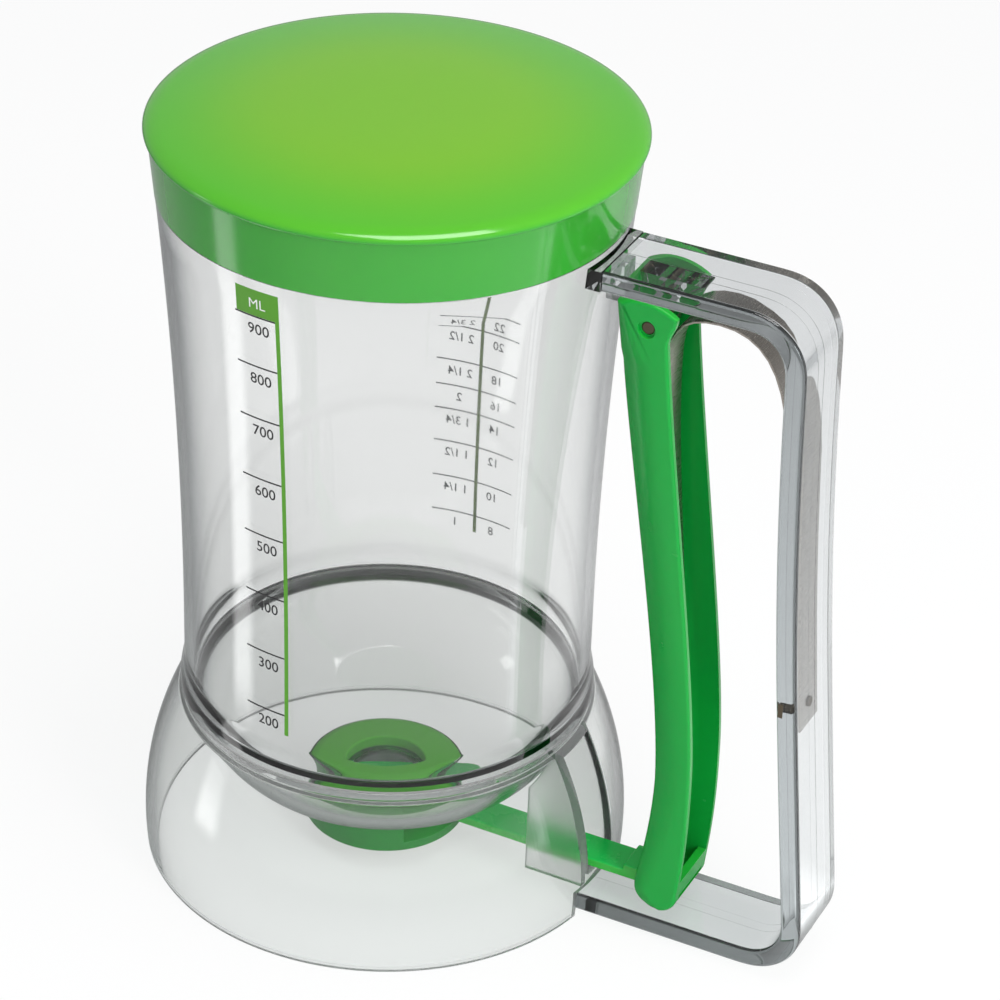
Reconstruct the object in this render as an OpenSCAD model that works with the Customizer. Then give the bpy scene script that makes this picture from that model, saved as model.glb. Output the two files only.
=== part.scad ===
// Hand-held batter dispenser: a clear jug on a bell-shaped base, a lift-off
// lid whose skirt slips over the jug's neck, and a squeeze trigger that slides
// a gate out from under the outlet in the bottom of the bowl.
//
// Frame: millimetres, +Z up, the handle points along +X. The origin is on the
// surface that the base stands on, on the centre line of the jug.

/* [Jug] */
// Outer radius of the straight lower part of the jug
jug_r = 47.4; // [46:0.1:52]
// How much wider the mouth is than the straight part, on the radius
jug_flare = 6.4; // [3:0.1:9]
// Wall thickness of the jug
jug_wall = 2.0; // [1.6:0.1:2.6]
// Height at which the wall starts to flare
flare_z = 64; // [58:1:90]
// Height of the top edge of the wall
jug_top_z = 186.4; // [178:0.2:200]

/* [Waist ring] */
// Underside of the ring that stands on the base
waist_z = 43.6; // [42:0.2:48]
// Height of the ring
waist_h = 5.9; // [4:0.1:8]
// How far the ring stands out from the wall
waist_out = 1.0; // [0.6:0.1:1.6]

/* [Bowl and outlet] */
// Outer radius of the bowl at the waist
bowl_r = 45.7; // [44:0.1:45.9]
// Height of the underside of the outlet boss
boss_z = 13.1; // [12.6:0.1:15]
// Wall thickness of the bowl
bowl_wall = 2.3; // [1.8:0.1:2.8]
// Thickness of the floor around the outlet
floor_t = 3.3; // [2.8:0.1:3.6]
// Radius of the outlet hole
outlet_r = 7.0; // [5:0.1:7.6]
// Outer radius of the sealing ring
seal_r = 18.3; // [15:0.1:18.8]
// Radius of the hole in the sealing ring
seal_hole_r = 9.3; // [8.8:0.1:12]
// Thickness of the sealing ring
seal_t = 3.0; // [2:0.1:3.6]

/* [Base] */
// Widest radius of the bell
base_r = 57.2; // [55:0.1:60]
// Height at which the bell is widest
base_wide_z = 7; // [5:0.5:9]
// Wall thickness of the bell
base_wall = 2.0; // [1.6:0.1:2.4]
// Width of the notch that the slide passes through
notch_w = 12.4; // [11.6:0.1:14]
// Height of the sill under the slide
sill_z = 9.6; // [9:0.1:10]
// Thickness of the two flat walls beside the notch
guide_t = 1.6; // [1.2:0.1:2]
// Distance of their inner edge from the centre line
guide_x = 41; // [38:0.5:44]

/* [Lid] */
// Outer radius of the lid rim
lid_r = 54.7; // [54.4:0.1:57]
// Thickness of the lid at its rim
lid_rim_t = 2.8; // [2.4:0.1:5]
// Height of the dome above the rim
lid_dome = 2.8; // [1:0.1:4]
// How far the skirt reaches down over the neck of the jug, below the rim
skirt_h = 14.4; // [10:0.2:18]
// Wall thickness of the lid
lid_wall = 2.2; // [1.8:0.1:3]

/* [Handle] */
// Width of the handle bar
handle_w = 21.2; // [20:0.1:24]
// Depth of the bar, from its outer face to its inner face
handle_d = 4.8; // [4.4:0.1:5.6]
// Depth of the upper arm's top face below the jug's rim
arm_drop = 16; // [14.4:0.2:18]
// Height of the underside of the lower arm
arm_low_z = 2.0; // [1.6:0.1:2.2]
// Distance of the grip's outer face from the centre line, at the top
grip_top_x = 101.8; // [99:0.2:106]
// Distance of the grip's outer face at the bottom
grip_low_x = 111.6; // [109:0.2:116]
// Radius of the two outer corners
corner_r = 13; // [11:0.5:15]

/* [Trigger] */
// How far the pivot pin lies below the top face of the upper arm
pin_drop = 11.7; // [11:0.1:13]
// Distance of the pivot pin from the centre line
pin_x = 64.7; // [64:0.1:66]
// Radius of the pivot pin
pin_r = 1.5; // [1.2:0.1:1.8]
// Width of the trigger
trigger_w = 18; // [16:0.1:19]
// Wall thickness of the trigger
trigger_wall = 1.6; // [1.4:0.1:2]
// Length of the wall that closes the foot of the trigger
foot_wall_h = 9; // [6:0.5:14]
// How far the trigger turns, in degrees
trigger_turn = 6.5; // [6:0.1:7]

/* [Slide] */
// Width of the slide bar
bar_w = 8.9; // [8:0.1:9.4]
// Thickness of the slide bar
bar_t = 2.2; // [1.8:0.1:2.6]
// How far the round gate laps over the outlet, on the radius
gate_lap = 2.3; // [1.8:0.1:2.6]
// Height of the gate
gate_h = 4.5; // [4:0.1:4.7]

/* [Valve housing] */
// Outer radius of the housing
housing_r = 19.4; // [18.6:0.1:20]
// Wall thickness of the housing
housing_wall = 2.2; // [1.8:0.1:2.6]
// Thickness of the deck that the gate slides on
deck_t = 2.2; // [1.8:0.1:3]
// Half the angle of the side window, in degrees
window_half = 49; // [40:1:60]

/* [Spring] */
// Width of the spring strip
spring_w = 9.8; // [8:0.2:11]
// Thickness of the spring strip
spring_t = 0.5; // [0.4:0.05:0.7]

/* [Hidden] */

$fn = 96;
cut = 1;                 // how far a cutting solid runs past a face
slide_gap = 0.2;         // running clearance of the gate and the bar
side_gap = 0.35;         // clearance of the slot beside the bar
fit_gap = 0.1;           // clearance of parts that plug together
arc_steps = 14;          // points on a quarter arc
curve_steps = 12;        // points on a long curve

// Jug
jug_flare_h = jug_top_z - flare_z;
neck_step = 1.1;         // how far the neck under the skirt steps in
jug_neck_wall = 1.2;
skirt_z = jug_top_z - skirt_h;
waist_r = jug_r + waist_out;
waist_top_z = waist_z + waist_h;
waist_chamfer = 0.8;
throat_h = 1.5;          // where the wall starts to narrow into the bowl, above the ring
bowl_h = waist_z - boss_z;
bowl_in_r = bowl_r - bowl_wall;
floor_z = boss_z + floor_t;
bowl_in_h = bowl_h - bowl_wall;
recess_gap = 0.3;
recess_r = seal_r + recess_gap;
bowl_start = acos(housing_r / bowl_r);

// Seal
seal_edge_t = 2.0;
seal_bevel = 2.4;

// Slide: the bar lies just under the boss
bar_top_z = boss_z - slide_gap;
bar_z = bar_top_z - bar_t;
gate_z = bar_top_z - gate_h;
gate_r = outlet_r + gate_lap;

// Housing
deck_z = gate_z - slide_gap - deck_t;
drop_r = outlet_r + 1.4;
nozzle_h = 1.6;
nozzle_wall = 1.6;
rail_t = 1.6;

// Base: the bell is an arc from the waist down to its widest radius
bell_top_z = waist_z;
bell_top_r = jug_r + 0.5;
bell_drop = base_r - bell_top_r;
bell_rise = bell_top_z - base_wide_z;
bell_arc_r = (bell_drop * bell_drop + bell_rise * bell_rise) / (2 * bell_drop);
bell_foot_r = base_r - bell_arc_r * (1 - cos(asin(base_wide_z / bell_arc_r)));
neck_h = 3.2;
neck_r = bowl_r + fit_gap;

// Lid
rim_z = jug_top_z;
lid_top_z = rim_z + lid_rim_t;
skirt_gap = 0.12;
skirt_lip = 0.1;         // how far the skirt stands proud of the wall below it
rim_round = 1.5;
rim_edge = 0.5;
dome_power = 3;

// Handle
arm_top_z = jug_top_z - arm_drop;
arm_x = jug_r + 7.2;
arm_end_x = base_r - 2.4;
arm_rim_z = arm_top_z - handle_d;
low_rim_z = arm_low_z + handle_d;
bracket_side = 0.3;

// Lug that carries the pin
pin_z = arm_top_z - pin_drop;
lug_w = 5.6;
lug_r = 3.4;
lug_front_x = pin_x - 5.2;
lug_tail_x = pin_x + 10.4;
lug_slot_w = 1.6;
lug_rib_h = 5.6;
lug_rib_x = arm_x - 2.4;
lug_rib_end_x = pin_x - 8.5;

// Trigger
head_z = arm_rim_z - 0.6;
head_r = 14;             // rounding of the top of the head
head_mid_x = pin_x - 1.1;
foot_z = arm_low_z + handle_d + 0.9;
web_face_x = pin_x + 4.2;
foot_floor_t = 0.8;
slot_z = foot_z + foot_floor_t;
slot_top_z = bar_top_z + 0.4;
foot_depth = 11.1;
foot_r = 4.8;
foot_slit_z = foot_z + 3.2;
foot_slit_h = 1.4;
foot_slit_w = 12.8;
trigger_in_w = trigger_w - 2 * trigger_wall;
trigger_h = pin_z - foot_z;
front_knee_x = web_face_x + 2.9;
front_knee_z = foot_z + trigger_h * 0.231;
rear_knee_x = web_face_x + 12.6;
rear_knee_z = foot_z + trigger_h * 0.257;
pin_gap = 0.05;
pin_len = trigger_w - 1.6;

// Slide end
tee_gap = 0.6;
tee_t = 2.2;
tee_w = bar_w + 1.8;
tee_x = web_face_x + trigger_wall + tee_gap;
shoulder_t = 3.6;
shoulder_h = 1.4;
shoulder_x = web_face_x - tee_gap;

// Spring
spring_gap = 0.1;
spring_low_z = 62;
spring_bend_x = pin_x + 2.7;
spring_bend_z = pin_z - 12.7;
spring_top_x = pin_x + 14.9;
spring_top_z = pin_z + 3.3;
spring_seat_z = 126;
spring_tail = 6;
rivet_z = 71.7;
rivet_r = 1.2;
rivet_head_r = 2.2;
rivet_head_t = 0.8;
rivet_hole_h = 1.5;

// Point on an ellipse of half axes a and b around [cx, cz]
function on_ellipse(cx, cz, a, b, t) = [cx + a * cos(t), cz + b * sin(t)];

// Points on a cubic curve between p0 and p3
function curve(p0, p1, p2, p3, n = curve_steps) =
    [for (i = [0:n]) let (t = i / n, s = 1 - t)
        s * s * s * p0 + 3 * s * s * t * p1 + 3 * s * t * t * p2 + t * t * t * p3];

// Points on an arc around c from angle a0 to a1
function arc(c, r, a0, a1, n = arc_steps) =
    [for (i = [0:n]) let (a = a0 + (a1 - a0) * i / n) c + r * [cos(a), sin(a)]];

function reversed(v) = [for (i = [len(v) - 1:-1:0]) v[i]];

// Appends curve b to curve a, whose last point is b's first
function join(a, b) = concat(a, [for (i = [1:len(b) - 1]) b[i]]);

// Outer radius of the jug wall at height z
function jug_radius(z) = jug_r + jug_flare * pow(max(0, z - flare_z) / jug_flare_h, 2);

// Outer radius of the bell at height z
function bell_radius(z) = base_r - bell_arc_r * (1 - cos(asin((z - base_wide_z) / bell_arc_r)));

// Extrudes an outline in X and Z across the Y axis
module across(width) {
    rotate([90, 0, 0]) linear_extrude(height = width, center = true) children();
}

module jug() {
    outer_wall = [for (i = [0:curve_steps]) let (z = flare_z + (skirt_z - flare_z) * i / curve_steps)
        [jug_radius(z), z]];
    neck_out_r = jug_radius(skirt_z) - neck_step;
    neck_in_r = neck_out_r - jug_neck_wall;
    neck = [[neck_out_r, skirt_z], [neck_out_r, jug_top_z], [neck_in_r, jug_top_z]];
    inner_wall = [for (p = reversed(outer_wall)) [min(p[0] - jug_wall, neck_in_r), p[1]]];
    outer_bowl = [for (i = [0:arc_steps]) let (t = bowl_start * (1 - i / arc_steps))
        on_ellipse(0, waist_z, bowl_r, -bowl_h, t)];
    inner_bowl = [for (i = [0:arc_steps]) let (t = acos(recess_r / bowl_in_r) * i / arc_steps)
        on_ellipse(0, waist_z, bowl_in_r, -bowl_in_h, t)];
    color([0.86, 0.89, 0.88, 0.4]) {
        rotate_extrude() polygon(concat(
            [[outlet_r, boss_z], [housing_r, boss_z]],
            outer_bowl,
            [[waist_r - waist_chamfer, waist_z], [waist_r, waist_z + waist_chamfer],
             [waist_r, waist_top_z - waist_chamfer], [waist_r - waist_chamfer, waist_top_z],
             [jug_r, waist_top_z]],
            outer_wall, neck, inner_wall, [[jug_r - jug_wall, waist_top_z + throat_h]], inner_bowl,
            [[recess_r, floor_z], [outlet_r, floor_z]]));
        handle_bracket();
    }
}

// Collar on the wall that the upper arm of the handle plugs against
module handle_bracket() {
    width = handle_w + 2 * bracket_side;
    height = handle_d + 2 * bracket_side;
    mid_z = arm_top_z - handle_d / 2;
    inner_r = jug_radius(arm_rim_z) - jug_wall / 2;
    difference() {
        translate([0, -width / 2, mid_z - height / 2]) cube([arm_x, width, height]);
        translate([0, 0, mid_z - height]) cylinder(h = 2 * height, r = inner_r);
    }
}

module outlet_seal() {
    color([0.33, 0.60, 0.22])
        rotate_extrude() polygon([
            [seal_hole_r, floor_z], [seal_r, floor_z], [seal_r, floor_z + seal_edge_t],
            [seal_r - seal_bevel, floor_z + seal_t], [seal_hole_r, floor_z + seal_t]]);
}

module valve_housing() {
    color([0.16, 0.52, 0.22])
        difference() {
            union() {
                rotate_extrude() polygon([
                    [drop_r, deck_z], [housing_r, deck_z], [housing_r, boss_z],
                    [housing_r - housing_wall, boss_z], [housing_r - housing_wall, deck_z + deck_t],
                    [drop_r, deck_z + deck_t]]);
                rotate_extrude() polygon([
                    [drop_r, deck_z - nozzle_h], [drop_r + nozzle_wall, deck_z - nozzle_h],
                    [drop_r + nozzle_wall, deck_z + deck_t], [drop_r, deck_z + deck_t]]);
                for (side = [-1, 1])
                    translate([-gate_r, side * (gate_r + slide_gap + rail_t / 2) - rail_t / 2, deck_z])
                        cube([gate_r * 2, rail_t, boss_z - deck_z]);
            }
            translate([0, 0, deck_z + deck_t])
                linear_extrude(height = boss_z - deck_z)
                    polygon(concat(
                        arc([0, 0], housing_r - housing_wall - cut / 2, window_half, -window_half),
                        arc([0, 0], housing_r + cut * 2, -window_half, window_half)));
        }
}

module base() {
    bell = [for (i = [0:arc_steps]) let (z = bell_top_z * i / arc_steps) [bell_radius(z), z]];
    inner = [for (i = [0:arc_steps]) let (z = (bell_top_z - neck_h) * i / arc_steps)
        [bell_radius(z) - base_wall, z]];
    outer_clip = bell_foot_r + cut * 4;
    color([0.90, 0.92, 0.91, 0.4])
        difference() {
            union() {
                rotate_extrude() polygon(concat(bell,
                    [[neck_r, bell_top_z], [neck_r, bell_top_z - neck_h]], reversed(inner)));
                intersection() {
                    guide_walls();
                    rotate_extrude() polygon(concat([[0, 0]], bell, [[0, bell_top_z]]));
                }
            }
            translate([neck_r - cut * 5, -notch_w / 2, sill_z])
                cube([outer_clip - neck_r + cut * 5, notch_w, bell_top_z - neck_h - sill_z]);
            translate([arm_end_x - fit_gap - cut * 2, -handle_w / 2 - fit_gap, -cut])
                cube([cut * 9, handle_w + 2 * fit_gap, cut + low_rim_z + fit_gap]);
        }
}

// Flat walls on both sides of the notch, inside the bell
module guide_walls() {
    height = bell_top_z - neck_h - low_rim_z - 2 * fit_gap;
    difference() {
        for (side = [-1, 1])
            translate([guide_x, side * (notch_w + guide_t) / 2 - guide_t / 2, low_rim_z + 2 * fit_gap])
                cube([base_r - guide_x, guide_t, height]);
        translate([0, 0, waist_z]) bowl_clearance();
    }
}

// Space that the bowl needs inside the base
module bowl_clearance() {
    gap = 0.6;
    rotate_extrude() polygon(concat(
        [for (i = [0:arc_steps]) let (t = 90 * (1 - i / arc_steps))
            on_ellipse(0, 0, bowl_r + gap, -bowl_h - gap, t)],
        [[bowl_r + gap, cut * 4], [0, cut * 4]]));
}

// Outline of the handle bar, "inset" millimetres inside its outer face
function bar_line(inset) =
    let (r = corner_r - inset,
         top = [grip_top_x - corner_r, arm_top_z - corner_r],
         low = [grip_low_x - corner_r, arm_low_z + corner_r],
         reach = (arm_top_z - arm_low_z) / 3)
    concat(
        [[arm_x, arm_top_z - inset]],
        join(join(arc(top, r, 90, 0),
            curve(top + [r, 0], top + [r + 1, -reach], low + [r - 6, reach * 1.15], low + [r, 0])),
            arc(low, r, 0, -90)),
        [[arm_end_x, arm_low_z + inset]]);

module bar_band(inset, depth) {
    polygon(concat(bar_line(inset), reversed(bar_line(depth))));
}

module handle() {
    color([0.84, 0.87, 0.87, 0.4])
        difference() {
            union() {
                across(handle_w) bar_band(0, handle_d);
                pivot_lug();
            }
            across(handle_w) translate([pin_x, pin_z]) circle(r = pin_r);
            across(handle_w) for (i = [0, 1])
                translate([pin_x - 0.6 + i * 3.6, arm_rim_z - 2.8])
                    square([lug_slot_w, 2]);
            on_grip(rivet_z) translate([0, 0, -cut]) cylinder(h = rivet_hole_h + cut, r = rivet_r);
        }
}

// Clear lug under the upper arm that hangs between the trigger's cheeks, with a short rib in front
module pivot_lug() {
    across(lug_w) {
        translate([pin_x, pin_z]) circle(r = lug_r);
        polygon([[pin_x - lug_r, pin_z], [lug_front_x, arm_rim_z + 0.5],
                 [lug_tail_x, arm_rim_z + 0.5], [lug_tail_x - 0.6, arm_rim_z - 0.8],
                 [pin_x + lug_r + 2.4, arm_rim_z - 3.4], [pin_x + lug_r, pin_z]]);
        polygon([[arm_x + 0.1, arm_rim_z + 0.5], [arm_x + 0.1, arm_rim_z - 0.5],
                 [lug_rib_x, arm_rim_z - 0.5], [lug_rib_x, arm_rim_z - lug_rib_h],
                 [lug_rib_end_x, arm_rim_z - lug_rib_h], [lug_rib_end_x, arm_rim_z + 0.5]]);
    }
}

// X of a downward outline where it crosses height z
function crossing(pts, z) =
    [for (i = [0:len(pts) - 2]) if (pts[i][1] >= z && pts[i + 1][1] < z)
        let (t = (pts[i][1] - z) / (pts[i][1] - pts[i + 1][1]))
        pts[i][0] + t * (pts[i + 1][0] - pts[i][0])][0];

// Outer face of the grip and front face of the trigger at height z
function grip_face(z) = crossing(bar_line(0), z);
function trigger_face(z) = crossing(trigger_front(0), z);

// Puts its children on the grip's inner face at height z, +Z into the wall
module on_grip(z) {
    lean = atan2(grip_face(z - cut) - grip_face(z + cut), 2 * cut);
    translate([grip_face(z), 0, z]) rotate([0, 90 - lean, 0])
        translate([0, 0, -handle_d]) children();
}

// Middle line of the spring strip: up inside the trigger, over, and down the grip
function spring_line() =
    let (back = spring_t / 2 + spring_gap,
         start = [trigger_face(spring_low_z) + trigger_wall + back, spring_low_z],
         bend = [spring_bend_x, spring_bend_z],
         crown = [spring_top_x, spring_top_z],
         seat = [grip_face(spring_seat_z) - handle_d - back, spring_seat_z],
         tail_z = rivet_z - spring_tail)
    join(join(join(
        curve(start, start + [0.2, 28], bend + [0, -28], bend),
        curve(bend, bend + [0, 10.5], crown + [-9.5, 0], crown, 8)),
        curve(crown, crown + [12.5, 0], seat + [-0.6, 25], seat, 10)),
        [for (i = [0:curve_steps]) let (z = seat[1] + (tail_z - seat[1]) * i / curve_steps)
            [grip_face(z) - handle_d - back, z]]);

module leaf_spring() {
    line = spring_line();
    last = len(line) - 1;
    side = [for (i = [0:last])
        let (d = line[min(i + 1, last)] - line[max(i - 1, 0)], n = [-d[1], d[0]] / norm(d))
        n * spring_t / 2];
    color([0.50, 0.46, 0.42])
        difference() {
            across(spring_w) polygon(concat(
                [for (i = [0:last]) line[i] + side[i]],
                [for (i = [last:-1:0]) line[i] - side[i]]));
            on_grip(rivet_z) translate([0, 0, -cut * 2])
                cylinder(h = cut * 3, r = rivet_r + fit_gap);
        }
}

module spring_rivet() {
    under_head = 2 * spring_gap + spring_t;
    color([0.55, 0.55, 0.56])
        on_grip(rivet_z) translate([0, 0, -under_head - rivet_head_t]) {
            cylinder(h = rivet_head_t, r = rivet_head_r);
            cylinder(h = rivet_head_t + under_head + rivet_hole_h - fit_gap, r = rivet_r);
        }
}

module pivot_pin() {
    color([0.72, 0.72, 0.70])
        rotate([90, 0, 0]) translate([pin_x, pin_z, -pin_len / 2]) cylinder(h = pin_len, r = pin_r);
}

// Point on the top of the lid at radius r, for a dome that starts at radius edge_r
function dome(edge_r, r) = [r, lid_top_z + lid_dome * (1 - pow(r / edge_r, dome_power))];

module lid() {
    edge_r = lid_r - rim_round;
    skirt_in_r = jug_radius(skirt_z) - neck_step + skirt_gap;
    skirt = [for (i = [0:4]) let (z = skirt_z + skirt_h * i / 4) [jug_radius(z) + skirt_lip, z]];
    edge = arc([edge_r, lid_top_z - rim_round], rim_round, 0, 90, 6);
    outside = [for (i = [1:arc_steps]) dome(edge_r, edge_r * (1 - i / arc_steps))];
    inside_r = skirt_in_r - lid_wall;
    inside = [for (i = [0:arc_steps]) dome(edge_r, inside_r * i / arc_steps) - [0, lid_wall]];
    color([0.32, 0.72, 0.10])
        rotate_extrude() polygon(concat(
            [[inside_r, rim_z], [skirt_in_r, rim_z], [skirt_in_r, skirt_z]], skirt,
            [[lid_r - rim_edge, rim_z], [lid_r, rim_z + rim_edge]],
            edge, outside, inside));
}

// Point on the rounded top of the trigger's head
function head_point(x) =
    [x, head_z - head_r + sqrt(head_r * head_r - (x - head_mid_x) * (x - head_mid_x))];

// Side outline of the trigger's front face, from head to foot, "inset" behind it
function trigger_front(inset) =
    let (head = head_point(pin_x - 7.6) + [inset, 0],
         neck = [pin_x - 6.7 + inset, pin_z - 7],
         low = [front_knee_x + inset, front_knee_z],
         foot = [web_face_x + inset, bar_z + 3])
    concat([head], join(
        curve(neck, neck + [2.4, -trigger_h * 0.158], low + [-0.4, trigger_h * 0.198], low, 14),
        curve(low, low + [0, -trigger_h * 0.08], foot + [0.8, 5], foot, 8)));

// Side outline of its rear edges, from foot to head
function trigger_rear() =
    let (head = head_point(pin_x + 6.8),
         neck = [pin_x + 4.9, pin_z - 3],
         low = [rear_knee_x, rear_knee_z],
         foot = [web_face_x + foot_depth, foot_z + foot_r + 1])
    concat(join(join(curve(foot, foot + [1.2, 10], low + [0.2, -trigger_h * 0.092], low, 8),
        curve(low, low + [-0.2, trigger_h * 0.158], neck + [2.6, -trigger_h * 0.198], neck, 14)),
        curve(neck, neck + [0, 2.4], head + [-0.2, -3.2], head, 4)),
        [for (i = [1:7]) head_point(head[0] + (pin_x - 7.6 - head[0]) * i / 8)]);

module trigger() {
    rear_x = web_face_x + foot_depth;
    front_round = [web_face_x + foot_r, foot_z + foot_r];
    rear_round = [rear_x - foot_r, foot_z + foot_r];
    color([0.18, 0.66, 0.26])
        difference() {
            across(trigger_w) polygon(concat(
                trigger_front(0),
                arc(front_round, foot_r, 180, 270, 6), arc(rear_round, foot_r, 270, 350, 6),
                trigger_rear()));
            across(trigger_in_w) polygon(concat(
                [[pin_x - 7.6 + trigger_wall, head_z + cut]],
                trigger_front(trigger_wall),
                [[web_face_x + trigger_wall, slot_z],
                 [rear_x - trigger_wall, slot_z],
                 [rear_x - trigger_wall, foot_z + foot_wall_h],
                 [rear_x + cut * 6, foot_z + foot_wall_h],
                 [rear_x + cut * 6, pin_z / 2], [pin_x + 12, head_z + cut]]));
            across(bar_w + 2 * side_gap) polygon([
                [web_face_x - cut * 4, slot_z], [web_face_x + trigger_wall + cut, slot_z],
                [web_face_x + trigger_wall + cut, slot_top_z], [web_face_x - cut * 4, slot_top_z]]);
            across(foot_slit_w) translate([rear_x - trigger_wall - cut, foot_slit_z])
                square([trigger_wall + cut * 3, foot_slit_h]);
            across(trigger_w + cut) translate([pin_x, pin_z]) circle(r = pin_r + pin_gap);
        }
}

module valve_slide() {
    color([0.20, 0.64, 0.24]) {
        translate([0, 0, gate_z]) cylinder(h = gate_h, r = gate_r);
        translate([0, -bar_w / 2, bar_z]) cube([tee_x, bar_w, bar_t]);
        translate([tee_x, -tee_w / 2, bar_z]) cube([tee_t, tee_w, bar_t]);
        translate([shoulder_x - shoulder_t, -bar_w / 2, bar_z])
            cube([shoulder_t, bar_w, bar_t + shoulder_h]);
    }
}

jug();
outlet_seal();
valve_housing();
base();
handle();
leaf_spring();
spring_rivet();
pivot_pin();
lid();
trigger();
valve_slide();
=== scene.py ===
from math import acos, asin, cos, degrees, pi, radians, sin, sqrt, tan

import bmesh
import bpy
from mathutils import Matrix, Vector


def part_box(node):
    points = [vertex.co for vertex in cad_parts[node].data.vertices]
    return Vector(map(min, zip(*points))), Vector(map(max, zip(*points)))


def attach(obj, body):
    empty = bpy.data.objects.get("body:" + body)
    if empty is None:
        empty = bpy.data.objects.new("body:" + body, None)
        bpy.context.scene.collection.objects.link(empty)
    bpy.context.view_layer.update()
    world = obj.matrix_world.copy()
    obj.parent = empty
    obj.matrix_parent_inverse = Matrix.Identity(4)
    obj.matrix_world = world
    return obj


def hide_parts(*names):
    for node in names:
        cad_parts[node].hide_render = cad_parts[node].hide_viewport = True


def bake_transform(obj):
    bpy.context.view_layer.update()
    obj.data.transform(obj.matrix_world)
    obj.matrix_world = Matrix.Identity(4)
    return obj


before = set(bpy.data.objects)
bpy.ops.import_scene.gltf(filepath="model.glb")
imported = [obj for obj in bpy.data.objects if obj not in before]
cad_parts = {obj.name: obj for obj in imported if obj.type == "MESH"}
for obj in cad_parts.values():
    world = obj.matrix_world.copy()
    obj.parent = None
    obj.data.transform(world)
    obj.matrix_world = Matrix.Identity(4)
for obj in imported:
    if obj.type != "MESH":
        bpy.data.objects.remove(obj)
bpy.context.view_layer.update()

# Sizes are millimetres in the frame that the CAD shares, and MM turns them into metres.
MM = 0.001

# Jug
JUG_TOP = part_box("jug")[1][2] / MM
JUG_R = 47.4
JUG_FLARE = 6.4
JUG_WALL = 2.0
FLARE_Z = 64.0
WAIST_Z = 43.6
WAIST_TOP = 52.5
WAIST_R = 48.4
THROAT_Z = 46.0
BOWL_R = 45.7
BOWL_WALL = 2.3
BOSS_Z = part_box("jug")[0][2] / MM
FLOOR_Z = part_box("outlet_seal")[0][2] / MM
OUTLET_R = 7.0
HOUSING_R = 19.4
RECESS_R = 18.6
COLLAR_X = 40.0
COLLAR_EDGE_X = 50.0

# Base
BASE_R = 57.2
BASE_WIDE_Z = 7.0
BASE_WALL = 2.0
BASE_TOP_R = 47.9
BELL_DROP = BASE_R - BASE_TOP_R
BELL_RISE = WAIST_Z - BASE_WIDE_Z
BELL_ARC = (BELL_DROP ** 2 + BELL_RISE ** 2) / (2 * BELL_DROP)
NECK_R = 45.8
NECK_Z = WAIST_Z - 3.2
NOTCH_HALF = 6.2
SILL_Z = 9.6
GUIDE_T = 1.6
GUIDE_X = 41.0
SLOT_HALF = 10.7
SLOT_TOP = 6.9
# Cuts in the base's wall end at this X, outside it.
PAST_BASE = 62

# Lid
LID_R = 54.7
LID_RIM_Z = JUG_TOP
LID_TOP = LID_RIM_Z + 2.5
LID_DOME = 2.8
DOME_R = LID_R - 2.3
# The rim is part of an oval RIM_W wide. It starts upright at RIM_Z and ends RIM_TURN degrees
# before its top.
RIM_W = 6.5
RIM_Z = LID_RIM_Z + 0.5
RIM_TURN = 19
LID_WALL = 2.2
SKIRT_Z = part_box("lid")[0][2] / MM
NECK_STEP = 1.1
NECK_WALL = 1.2
SKIRT_GAP = 0.12

# Handle
BAR_W = 21.2
BAR_D = 4.8
ARM_TOP = 170.4
ARM_LOW = 2.0
ARM_X = 54.6
ARM_END_X = 54.8
GRIP_TOP_X = 101.8
GRIP_LOW_X = 111.6
CORNER_R = 13.0
# The parting line's half width and height
SEAM_HALF = 0.12
SEAM_H = 0.05
# The bar's outline gets points this far apart, and is then smoothed this many times.
LINE_SPACING = 0.6
LINE_PASSES = 24
PIN_X, PIN_Z, PIN_R = 64.7, 158.7, 1.5
LUG_W = 5.6
LUG_R = 3.4
RIB_H = 5.6
RIB_X = ARM_X - 2.4
RIB_END_X = PIN_X - 8.5
TAB_X = (101.75, 102.95)
TAB_Z = (72.6, 76.2)

# Trigger
TRIGGER_W = 18.0
TRIGGER_WALL = 1.6
HEAD_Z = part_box("trigger")[1][2] / MM
HEAD_R = 14.0
HEAD_FRONT_X = PIN_X - 7.6
HEAD_REAR_X = PIN_X + 6.8
HEAD_LENGTH = 14.4
FOOT_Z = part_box("trigger")[0][2] / MM
WEB_X = 68.9
FOOT_DEPTH = 11.1
FOOT_R = 4.8
FOOT_FLOOR = 0.8
FOOT_WALL = 9.0
BAR_Z = 10.7
SLOT_TOP_Z = 13.3
# The slit in the foot's rear wall
SLIT_Z = FOOT_Z + 3.2
SLIT_H = 1.4
SLIT_HALF = 6.4
# The hollow is this wide to each side at its front, and its sides start this far back.
ROOM_FRONT_HALF = 5.6
ROOM_SIDE_INSET = 5.2
SLIDE_BAR_W = 8.9
SLIDE_PLAY = 0.35
# Shallow rounds in both cheeks, about the pin
SINK_Y = (8.2, 10.0)
SINK_R = PIN_R + 0.6

# Camera, fitted to the photograph: where it stands, how it is turned, and its lens
CAM_AZIMUTH = radians(25.58)
CAM_ELEVATION = radians(32.00)
CAM_ROLL = radians(2.07)
CAM_DISTANCE = 869.92
CAM_ASIDE = 24.91
CAM_HEIGHT = 92.63
CAM_LENS = 137.39
CAM_SENSOR = 36.0

# Faces round each piece that is turned about the Z axis
COLUMNS = 288
BELL_COLUMNS = 240

# Studio
STAGE_REACH = 4.0
STAGE_Z = -0.0002
CARD_CENTRE = (0.0155, -0.0324)
CARD_GAIN = 6.0
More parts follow.
